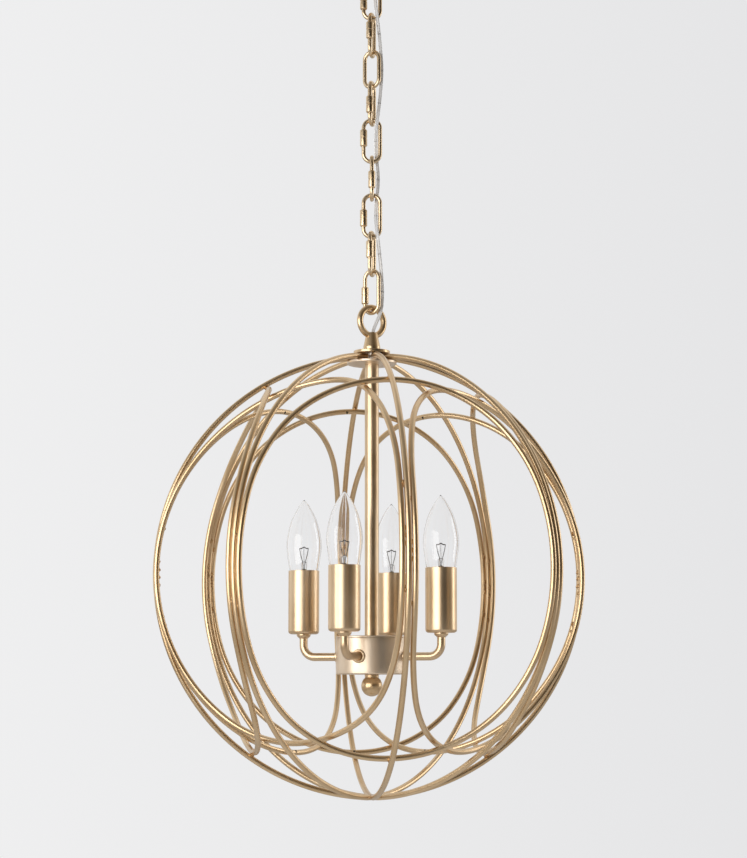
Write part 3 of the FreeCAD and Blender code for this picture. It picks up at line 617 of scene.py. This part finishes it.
finial = {"ball": 10.3, "collar": 6.9, "drop": 11.0, "meets": 44.0, "seat": 0.05}
a = np.linspace(-math.pi / 2, math.radians(finial["meets"]), 40)
ballLine = [0, cup - finial["drop"]] + finial["ball"] * np.stack([np.cos(a), np.sin(a)], -1)
ballLine[0, 0] = 0
collarLine = roundedLine([
    (finial["collar"], cup - finial["collar"] / 2, 0.4),
    (finial["collar"], cup - finial["seat"], 0.3), (0, cup - finial["seat"])])
skin("finialBall", lathe(np.concatenate([ballLine, collarLine]), 56), gold, "orb",
     ["finial"])
print("stem and hub ready")

# Arms and lights
arms = {
    "azimuths": {"front": -21.0, "right": 68.0, "back": 164.0, "left": 249.0},
    "radius": 4.0, "reach": 72.0, "bend": 11.8, "root": 28.0, "intoSleeve": 6.0}
# profiles: radius, height, and the rounding of a corner
shoulder = ((3.9, -4.6), (4.9, -3.6, 0.4), (6.3, -2.4, 0.5), (6.9, -1.2, 0.6), (6.9, -0.02),
            (3.9, -0.02))
bushing = ((3.95, 33.5), (6.6, 33.5), (6.6, 36.6, 0.7), (4.7, 37.1, 0.5), (3.95, 36.2))
sleeveLook = {"radius": 15.25, "wall": 0.8, "floor": 1.2, "edge": 3.0, "rim": 0.25, "hole": 4.1}
bulb = {
    "outline": ((6.6, -11.4), (14.0, 0.0), (15.9, 10.0), (17.5, 24.5), (15.4, 40.2),
                (12.4, 50.6), (7.2, 60.9), (3.6, 66.5)),
    "tip": 70.5, "wall": 0.7, "tipWall": 1.05, "steps": 90, "stop": 20.0}
bulbCap = {"radius": 5.95, "length": 18.0, "thread": 0.28, "pitch": 2.54, "plain": 3.0,
           "contact": ((3.2, 0.2), (2.6, 0.0, 0.3), (2.4, -1.2, 0.5), (0, -1.4))}
bulbMount = {"line": ((5.2, 0.6), (3.6, 4), (2.5, 9), (1.9, 14), (2.1, 17.5), (1.5, 20), (0, 20.6)),
             "pressFrom": 9.0, "pressOver": 5.0, "thinner": 0.55, "wider": 0.45}
filament = {
    "lead": ((0.7, 2), (0.7, 15), (1.4, 20), (3.22, 27), (4.462, 33.5)), "leadWire": 0.36,
    "support": ((0, 16), (0.1, 22), (-0.2, 28), (0.0, 34.7)), "supportWire": 0.216,
    "arch": 1.4, "dip": 0.8, "turns": 46, "coil": 0.42, "coilWire": 0.16, "side": (0.3, 1, 0.2)}


def lifted(profile, height):
    return [(x, z + height, *corner) for x, z, *corner in profile]


def smoothLine(points, count):
    # a natural cubic through the points, over the distance between them
    points = np.array(points, float)
    s = np.concatenate([[0], np.cumsum(np.linalg.norm(np.diff(points, axis=0), axis=1))])
    h = np.diff(s)
    n = len(s)
    system, known = np.eye(n), np.zeros((n, 2))
    rows = np.arange(1, n - 1)
    system[rows, rows - 1], system[rows, rows], system[rows, rows + 1] = (
        h[:-1], 2 * (h[:-1] + h[1:]), h[1:])
    slope = np.diff(points, axis=0) / h[:, None]
    known[1:-1] = 6 * np.diff(slope, axis=0)
    bend = np.linalg.solve(system, known)
    t = np.linspace(0, s[-1], count)
    k = np.clip(np.searchsorted(s, t, "right") - 1, 0, n - 2)
    a, b, w = (s[k + 1] - t)[:, None], (t - s[k])[:, None], h[k][:, None]
    return ((bend[k] * a ** 3 + bend[k + 1] * b ** 3) / (6 * w)
            + (points[k] / w - bend[k] * w / 6) * a + (points[k + 1] / w - bend[k + 1] * w / 6) * b)


def armGrid():
    # straight out of the hub, then up into the sleeve
    line = roundedLine([
        (arms["root"], heights["arm"]), (arms["reach"], heights["arm"], arms["bend"]),
        (arms["reach"], heights["sleeveBottom"] + arms["intoSleeve"])], 18)
    path = np.stack([line[:, 0], 0 * line[:, 0], line[:, 1]], -1)
    return capped(sweep(path, roundSection(arms["radius"], 32), (0, 1, 0)))


def shoulderGrid():
    profile = roundedLine(lifted(shoulder, heights["sleeveBottom"]), 4)
    return lathe(profile, 40) + [arms["reach"], 0, 0]


def bushingGrid():
    # a turned collar whose axis is the arm's
    ring = lathe(roundedLine(bushing, 4), 40)
    return np.stack([ring[..., 2], ring[..., 1], ring[..., 0] + heights["arm"]], -1)


def sleeveGrid():
    top, bottom = heights["sleeveTop"], heights["sleeveBottom"]
    r, wall, edge, rim, hole = (sleeveLook[k] for k in ("radius", "wall", "edge", "rim", "hole"))
    inside = bottom + sleeveLook["floor"]
    profile = roundedLine([
        (hole, bottom), (r, bottom, edge), (r, top, rim), (r - wall, top, rim),
        (r - wall, inside, edge - wall), (hole, inside)], 8)
    return lathe(denser(profile, 8.0), 72) + [arms["reach"], 0, 0]


def glassGrid():
    # an outer and an inner skin, joined at the open neck
    top, steps = heights["sleeveTop"], bulb["steps"]
    outer = smoothLine([*bulb["outline"], (0, bulb["tip"])], steps) + [0, top]
    inside = [(r - bulb["wall"], z) for r, z in bulb["outline"]]
    inner = smoothLine([*inside, (0, bulb["tip"] - bulb["tipWall"])], steps) + [0, top]
    outer[-1, 0] = inner[-1, 0] = 0
    return lathe(np.concatenate([inner[::-1], outer]), 96)


def capGrid():
    # a rolled screw cap: the radius waves as the thread climbs
    top = heights["sleeveTop"] + bulb["outline"][0][1]
    bottom = top - bulbCap["length"]
    z = np.linspace(top, bottom + bulbCap["plain"], 90)[:, None]
    a = np.linspace(0, 2 * np.pi, 48, endpoint=False)[None]
    wave = bulbCap["thread"] * (np.cos(2 * np.pi * z / bulbCap["pitch"] - a) - 1) / 2
    radius = bulbCap["radius"] + wave
    body = np.stack([radius * np.cos(a), radius * np.sin(a), z + 0 * a], -1)
    foot = lathe(roundedLine(lifted(bulbCap["contact"], bottom), 4), 48)
    return capped(np.concatenate([body, foot]))


def mountGrid():
    # flared glass stem, drawn to a flat press that holds the leads
    top = heights["sleeveTop"] + bulb["outline"][0][1]
    line = smoothLine(bulbMount["line"], 40)
    line[-1, 0] = 0
    grid = lathe(line + [0, top], 32)
    press = (grid[..., 2:] - top - bulbMount["pressFrom"]) / bulbMount["pressOver"]
    press = np.clip(press, 0, 1)
    grid[..., 1:2] *= 1 - bulbMount["thinner"] * press
    grid[..., 0:1] *= 1 + bulbMount["wider"] * press
    return capped(grid)


def wireGrid(points, radius, around, count):
    flat = smoothLine(points, count)
    path = np.stack([flat[:, 0], 0 * flat[:, 0], flat[:, 1]], -1)
    return capped(sweep(path, roundSection(radius, around), (0, 1, 0)))


def filamentGrids():
    # two leads, a middle support, and a coiled filament slung between the leads
    top = heights["sleeveTop"] + bulb["outline"][0][1]
    grids = [wireGrid([(side * x, z) for x, z in filament["lead"]], filament["leadWire"], 10, 40)
             for side in (-1, 1)]
    grids.append(wireGrid(filament["support"], filament["supportWire"], 8, 30))
    spread, high = filament["lead"][-1]
    t = np.linspace(0, 1, 900)
    line = (high + filament["arch"] * np.sin(np.pi * t)
            - filament["dip"] * np.sin(2 * np.pi * t) ** 2)
    turns = 2 * np.pi * filament["turns"] * t
    coil = np.stack([spread * (2 * t - 1), filament["coil"] * np.cos(turns),
                     line + filament["coil"] * np.sin(turns)], -1)
    grids.append(capped(sweep(coil, roundSection(filament["coilWire"], 6), filament["side"])))
    return [grid + [0, 0, top] for grid in grids]


toSleeve = np.array([arms["reach"], 0, 0])
for side, azimuth in arms["azimuths"].items():
    face = -azimuth + bulb["stop"] * len(side)  # each bulb was screwed in to its own stop
    put = lambda grid: toAzimuth(grid, azimuth)
    turnedIn = lambda grid: put(turnZ(grid, face) + toSleeve)
    body = f"bulb_{side}"
    skin(f"arm_{side}_tube", put(armGrid()), satinGold, "orb", [f"arm_{side}"])
    for name, grid, replaced in (("arm_{}_shoulder", shoulderGrid(), []),
                                 ("arm_{}_bushing", bushingGrid(), ["arm_bushings"]),
                                 ("sleeve_{}_cup", sleeveGrid(), [f"sleeve_{side}"])):
        skin(name.format(side), put(grid), satinGold, "orb", replaced, closed=True)
    skin(f"bulb_{side}_glass", put(glassGrid() + toSleeve), glass, body,
         [f"bulb_glass_{side}"], closed=True)
    skin(f"bulb_{side}_cap", turnedIn(capGrid()), brass, body, [f"bulb_base_{side}"])
    skin(f"bulb_{side}_mount", turnedIn(mountGrid()), glass, body)
    skin(f"bulb_{side}_filament", [turnedIn(grid) for grid in filamentGrids()], wireMetal, body)
print("arms and lights ready")

# Supply cord
cordLook = {
    "halfWidth": 1.75, "halfThickness": 0.55, "blunt": 0.75, "bundle": 0.5, "offset": 0.85,
    "proud": 1.25, "sway": 12.0, "swayLength": 45.0, "bendHalf": 7.0, "bottom": -1000.0}
# control points, from the pipe in the canopy down to the hub
cordRoute = (
    (0, 0, -4), (0, 0, -42), (1.5, 2.3, -53), (4.6, 4.8, -62), (5.8, 4.4, -70),
    (3.6, 2, -80.5), (3.3, -1.8, -91.1), (5, -5, -103.8), (7, -3, -120.7), (9, 0, -142.8),
    (10.2, 0.7, -160.2), (9, -0.2, -179.9), (7.4, -2.6, -196.8), (5.7, -5.2, -211.5),
    (4.1, -3, -223.1), (3.8, 0, -233.7), (4, 2.8, -243.2), (5.1, 4.9, -253.7),
    (6.6, 4.9, -271.7), (5.1, 4.9, -289.6), (4, 2.8, -300.2), (3.8, 0, -310.7),
    (4.1, -3, -320.2), (5.8, -5.2, -331.8), (7.6, -2.6, -348.7), (9.6, 0, -368.7),
    (10.6, 0.8, -387.7), (9.8, -0.6, -403.6), (6.4, -1.2, -413.8), (2.6, -0.6, -421.8),
    (0, 0, -429.8), (0, 0, -733.8))


def splineThrough(route):
    # the points of Blender's own smooth curve for a list of control points
    curve = bpy.data.curves.new("cordLine", "CURVE")
    curve.dimensions = "3D"
    spline = curve.splines.new("NURBS")
    spline.points.add(len(route) - 1)
    spline.points.foreach_set("co", np.array([(*p, 1) for p in route], float).ravel())
    spline.order_u = 3
    spline.use_endpoint_u = True
    spline.resolution_u = 12
    holder = bpy.data.objects.new("cordLine", curve)
    mesh = bpy.data.meshes.new_from_object(holder)
    points = np.zeros(len(mesh.vertices) * 3)
    mesh.vertices.foreach_get("co", points)
    bpy.data.objects.remove(holder)
    bpy.data.meshes.remove(mesh)
    bpy.data.curves.remove(curve)
    return points.reshape(-1, 3)


def flatSection(halfWidth, halfThickness, around=28):
    # an oval with blunt ends: (w cos a, t sin a), drawn out by a power
    a = np.linspace(0, 2 * np.pi, around, endpoint=False)
    blunt = lambda v: np.sign(v) * np.abs(v) ** cordLook["blunt"]
    return np.stack([halfWidth * blunt(np.cos(a)), halfThickness * blunt(np.sin(a))], -1)


line = splineThrough(cordRoute)
line = line[np.argsort(-line[:, 2])]
sway = math.radians(cordLook["sway"]) * np.sin(line[:, 2] / cordLook["swayLength"])
side = np.stack([np.cos(sway), np.sin(sway), 0 * sway], -1)
jacketGrid = sweep(line, flatSection(cordLook["halfWidth"], cordLook["halfThickness"]), side)
bundleSection = roundSection(cordLook["bundle"], 14) * [1, cordLook["proud"]]
bundleGrids = [sweep(line, bundleSection + [way * cordLook["offset"], 0], side) for way in (-1, 1)]
bodiesDown = ["ceiling"] + [f"link_{k + 1}" for k in range(len(linkMiddles))] + ["orb"]
cuts = [0.0] + linkMiddles + [cordLook["bottom"]]
for k, (upper, lower) in enumerate(zip(cuts, cuts[1:])):
    inside = np.flatnonzero((line[:, 2] <= upper + 1e-6) & (line[:, 2] >= lower - 1e-6))
    run = slice(max(inside[0] - 1, 0), min(inside[-1] + 1, len(line) - 1) + 1)
    flat = skin(f"cordJacket{k + 1}", capped(jacketGrid[run]), jacket, None,
                ["supply_cord"])
    pair = skin(f"cordStrands{k + 1}", [capped(grid[run]) for grid in bundleGrids], bundle, None)
    above, below = (pivots[k] + way * cordLook["bendHalf"] for way in (1, -1))
    for piece in (flat, pair):
        bodiesDown[k + 1]
        above * mm
        below * mm
        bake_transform(piece)
print("cord ready")

# Plain hardware that keeps its solid
for name, material in (("ceiling_bracket", steel), ("bracket_locknuts", steel),
                       ("ceiling_pipe", steel), ("stem_pipes", steel), ("arm_nuts", steel),
                       ("ground_screw", brass), ("lampholders", resin)):
    nodes[name].data.materials.clear()
    nodes[name].data.materials.append(material)

# Room, lights and camera
floor = {"height": -2.4, "reach": 16.0, "seen": rgb(0.86, 0.86, 0.865), "share": 0.7,
         "grain": 5.0, "dark": rgb(0.79, 0.79, 0.80), "light": rgb(0.82, 0.82, 0.83)}
lamps = {
    "keyWindow": {"at": (-1.25, -1.55, -0.45), "size": (2.0, 1.3), "power": 29.0,
                  "color": (1, 0.98, 0.95)},
    "fillCard": {"at": (1.8, 0.3, -0.3), "size": (0.5, 1.2), "power": 5.0, "color": (1, 1, 1)}}
# how bright the room is to each side, and where each side starts and is full
surround = {
    "base": 0.07, "wall": 0.64, "right": 0.27, "left": 0.40, "ceiling": 0.22, "dark": 0.10,
    "wallRange": (-0.15, 0.45), "sideRange": (0.6, 0.95), "ceilingRange": (0.25, 0.8),
    "darkRange": (0.3, 0.85), "darkToward": (0.6, -0.8), "pale": rgb(1, 0.99, 0.97),
    "warm": rgb(1, 0.78, 0.5)}
# the backdrop is paler at the left and darker at the right: painted shade, as light falls off away
# from the key at the left
backdrop = {"left": rgb(0.88, 0.88, 0.885), "right": rgb(0.77, 0.77, 0.78), "slope": 1.8}
view = {"location": (0.00165, -1.9825, -0.78037), "pitch": 6.162, "lens": 85.155, "shift": 0.05}
scene = bpy.context.scene


def floorPaint():
    # a pale floor that keeps its shadows, and shows partly in its own colour to the camera
    material = bpy.data.materials.new("floorPaint")
    material.use_nodes = True
    t = Tree(material.node_tree)
    grain = t.noise(t.place(), floor["grain"])
    paint = t.add("ShaderNodeBsdfPrincipled", values={
        "Base Color": t.mixColor(grain, floor["dark"], floor["light"]), "Roughness": 0.9})
    pale = t.add("ShaderNodeEmission", values={"Color": floor["seen"]})
    share = t.seenThrough() * floor["share"]
    mixed = t.add("ShaderNodeMixShader", values={0: share, 1: paint, 2: pale})
    t.add("ShaderNodeOutputMaterial", values={"Surface": mixed})
    return material


def floorPlane():
    mesh = bpy.data.meshes.new("floor")
    corners = [(x * floor["reach"], y * floor["reach"], floor["height"])
               for x, y in ((-1, -1), (1, -1), (1, 1), (-1, 1))]
    mesh.from_pydata(corners, [], [(0, 1, 2, 3)])
    mesh.materials.append(floorPaint())
    sheet = bpy.data.objects.new("floor", mesh)
    scene.collection.objects.link(sheet)


def softLight(name, look, aim):
    lamp = bpy.data.lights.new(name, "AREA")
    lamp.shape = "RECTANGLE"
    lamp.size, lamp.size_y = look["size"]
    lamp.energy = look["power"]
    lamp.color = look["color"]
    holder = bpy.data.objects.new(name, lamp)
    holder.location = look["at"]
    toward = np.array(aim, float) - np.array(look["at"], float)
    yaw = math.atan2(-toward[0], toward[1])
    pitch = math.atan2(toward[2], math.hypot(toward[0], toward[1]))
    holder.rotation_euler = (math.pi / 2 + pitch, 0, yaw)
    # the lamp isn't seen through a bulb from behind
    holder.visible_transmission = False
    scene.collection.objects.link(holder)


def lightRoom(world):
    # pale walls to reflect, and a backdrop for the camera, painted darker toward the right: painted
    # shade falling off away from the key light at the left
    world.use_nodes = True
    t = Tree(world.node_tree)
    direction = t.add("ShaderNodeTexCoord", output="Generated")
    split = t.add("ShaderNodeSeparateXYZ", values={0: direction})
    across, away, up = [Wire(t, split.socket.node.outputs[k]) for k in range(3)]
    wallSide = away.between(*surround["wallRange"])
    rightSide = across.between(*surround["sideRange"])
    leftSide = (across * -1).between(*surround["sideRange"])
    ceilingSide = up.between(*surround["ceilingRange"])
    sideways, backward = surround["darkToward"]
    darkSide = (across * sideways + away * backward).between(*surround["darkRange"])
    glow = (surround["base"] + surround["wall"] * wallSide + surround["right"] * rightSide
            + surround["left"] * leftSide + surround["ceiling"] * ceilingSide
            - surround["dark"] * darkSide).clamped()
    room = t.add("ShaderNodeBackground", values={
        "Color": t.mixColor(darkSide, surround["pale"], surround["warm"]), "Strength": glow})
    # painted shade: the backdrop darkens toward the right
    shadedPaper = t.mixColor((across * backdrop["slope"] + 0.5).clamped(), backdrop["left"],
                       backdrop["right"])
    plain = t.add("ShaderNodeBackground", values={"Color": shadedPaper, "Strength": 1.0})
    mixed = t.add("ShaderNodeMixShader", values={0: t.seenThrough(), 1: room, 2: plain})
    t.add("ShaderNodeOutputWorld", values={"Surface": mixed})


floorPlane()
for name, look in lamps.items():
    softLight(name, look, centreOfBall * mm)
scene.world = scene.world or bpy.data.worlds.new("World")
lightRoom(scene.world)

camera = bpy.data.objects.new("camera", bpy.data.cameras.new("camera"))
camera.location = view["location"]
camera.rotation_euler = (math.radians(90 + view["pitch"]), 0, 0)
camera.data.lens = view["lens"]
camera.data.shift_y = view["shift"]
scene.collection.objects.link(camera)
scene.camera = camera
scene.view_settings.view_transform = "Standard"

bpy.context.view_layer.update()
print("room, lights and camera ready")
